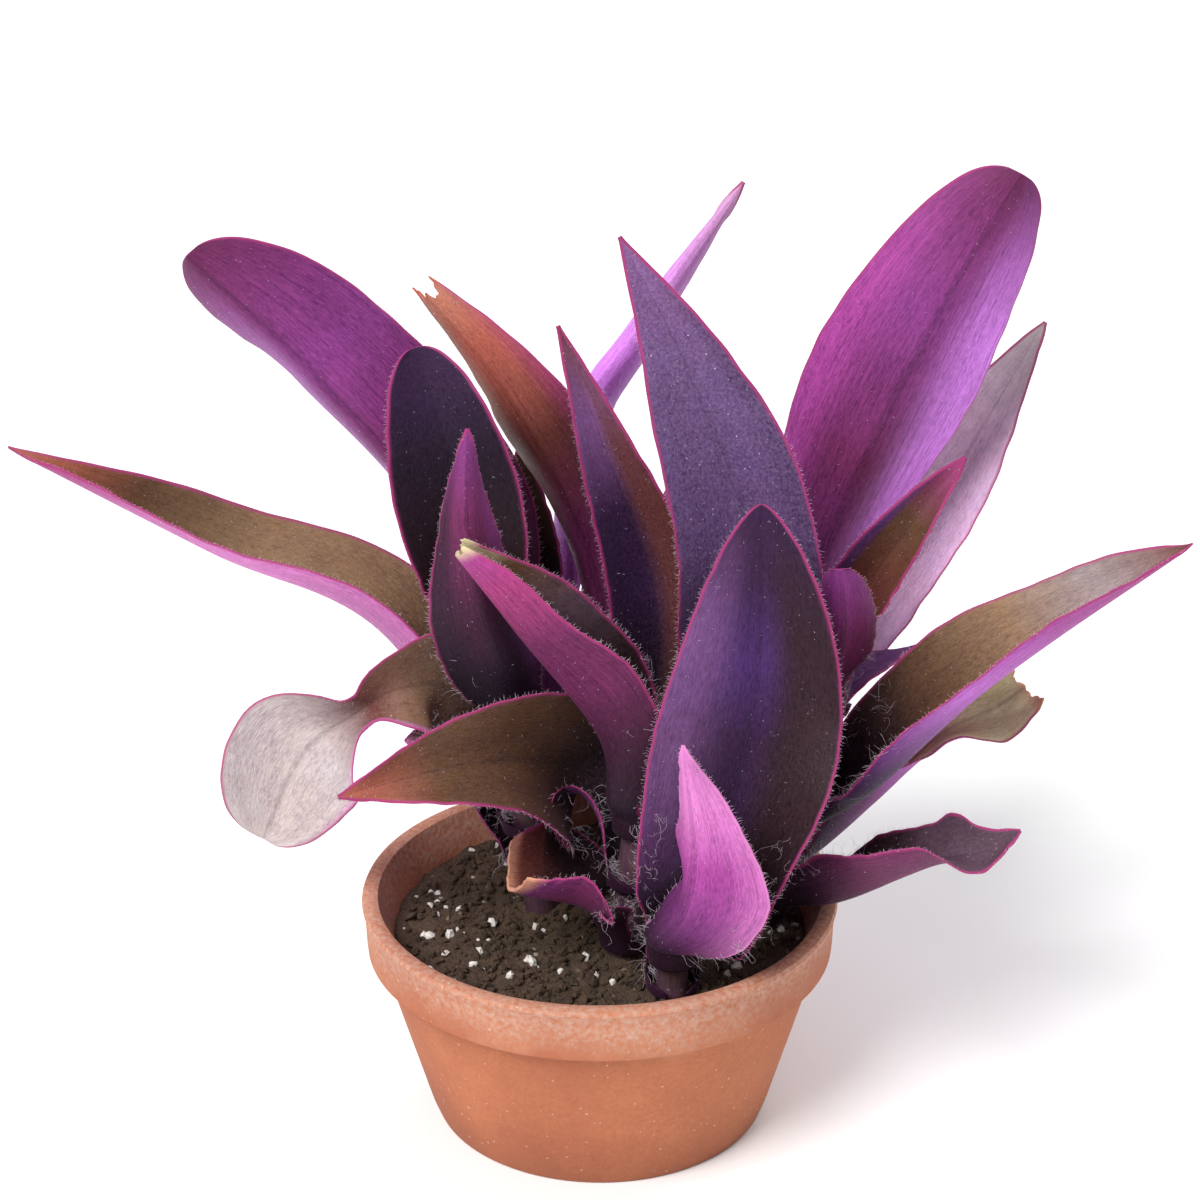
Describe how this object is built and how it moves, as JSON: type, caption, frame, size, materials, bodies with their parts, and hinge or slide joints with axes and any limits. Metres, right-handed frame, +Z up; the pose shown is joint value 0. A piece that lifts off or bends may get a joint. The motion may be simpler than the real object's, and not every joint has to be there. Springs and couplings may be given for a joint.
{
  "type": "potted purple heart",
  "caption": "Low clay pot with a clump of short stems and folded purple strap leaves that fan out on all sides.",
  "frame": {"origin": "middle of the pot's foot, on the surface that it stands on", "axes": "+Z up, +X to the right as seen from the front, +Y from the front to the back"},
  "size_m": [0.246, 0.1741, 0.2004],
  "materials": {
    "clay": "matte unglazed clay",
    "soil": "rough potting soil",
    "stem": "smooth, faintly waxy",
    "leaf": "satin, finely hairy"
  },
  "bodies": {
    "root": {"pot": "clay", "soil": "soil", "stem_front": "stem", "stem_low": "stem", "stem_centre": "stem", "stem_left": "stem", "stem_right": "stem", "stem_inner": "stem", "stem_rear_right": "stem", "stem_rear_left": "stem", "stem_rear": "stem", "leaf_front_tall": "leaf", "leaf_front_curl": "leaf", "leaf_low_left_torn": "leaf", "leaf_low_left_brown": "leaf", "leaf_left_torn_pink": "leaf", "leaf_rear_left_torn": "leaf", "leaf_centre_dark": "leaf", "leaf_left_droop": "leaf", "leaf_far_left": "leaf", "leaf_left_dark": "leaf", "leaf_left_young": "leaf", "leaf_low_right": "leaf", "leaf_right_torn": "leaf", "leaf_far_right": "leaf", "leaf_right_sliver": "leaf", "leaf_right_bud": "leaf", "leaf_rear_right_low": "leaf", "leaf_rear_right_pale": "leaf", "leaf_tall_right": "leaf", "leaf_right_young_brown": "leaf", "leaf_tall_centre": "leaf", "leaf_rear_left_low": "leaf", "leaf_rear_dark": "leaf", "leaf_upper_left": "leaf", "leaf_rear_thin": "leaf", "leaf_rear_arch": "leaf", "leaf_rear_upright": "leaf"}
  },
  "joints": []
}
